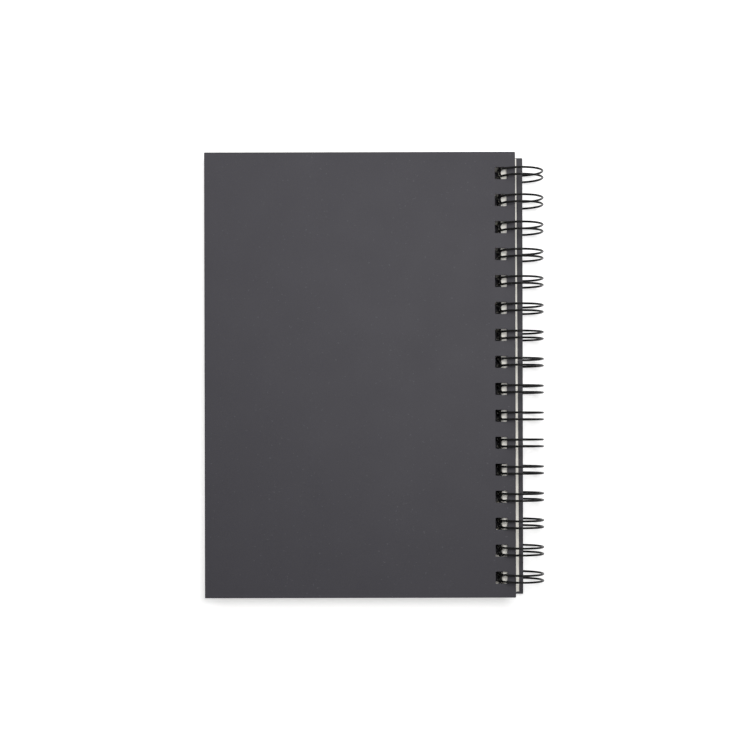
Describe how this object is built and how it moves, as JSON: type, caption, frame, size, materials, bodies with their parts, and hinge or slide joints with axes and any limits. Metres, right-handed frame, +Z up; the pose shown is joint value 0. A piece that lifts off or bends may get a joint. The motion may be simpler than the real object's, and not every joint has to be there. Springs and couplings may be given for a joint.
{
  "type": "spiral notebook",
  "caption": "Closed twin-loop wire-bound notebook with ruled sheets between plain card covers that fold open about the wire.",
  "frame": {"origin": "centre of the bounding box's footprint, on the surface that the closed notebook lies on", "axes": "+X towards the bound edge, +Y towards the head of the pages, +Z up through the front cover, the sheets and the back cover; it lies on its front cover"},
  "size_m": [0.1606, 0.21, 0.0224],
  "materials": {
    "cover_card": "matte",
    "page_paper": "matte",
    "binding_wire": "satin"
  },
  "bodies": {
    "pages": {"page_block": "page_paper", "wire_binding": "binding_wire"},
    "back_cover_leaf": {"back_cover": "cover_card"},
    "front_cover_leaf": {"front_cover": "cover_card"}
  },
  "joints": [
    {"name": "back_cover_hinge", "type": "hinge", "parent": "pages", "child": "back_cover_leaf", "pos_m": [0.06913, 0, 0.0112], "axis": [0, 1, 0], "range_deg": [0, 180]},
    {"name": "front_cover_hinge", "type": "hinge", "parent": "pages", "child": "front_cover_leaf", "pos_m": [0.06913, 0, 0.0112], "axis": [0, -1, 0], "range_deg": [0, 180]}
  ]
}
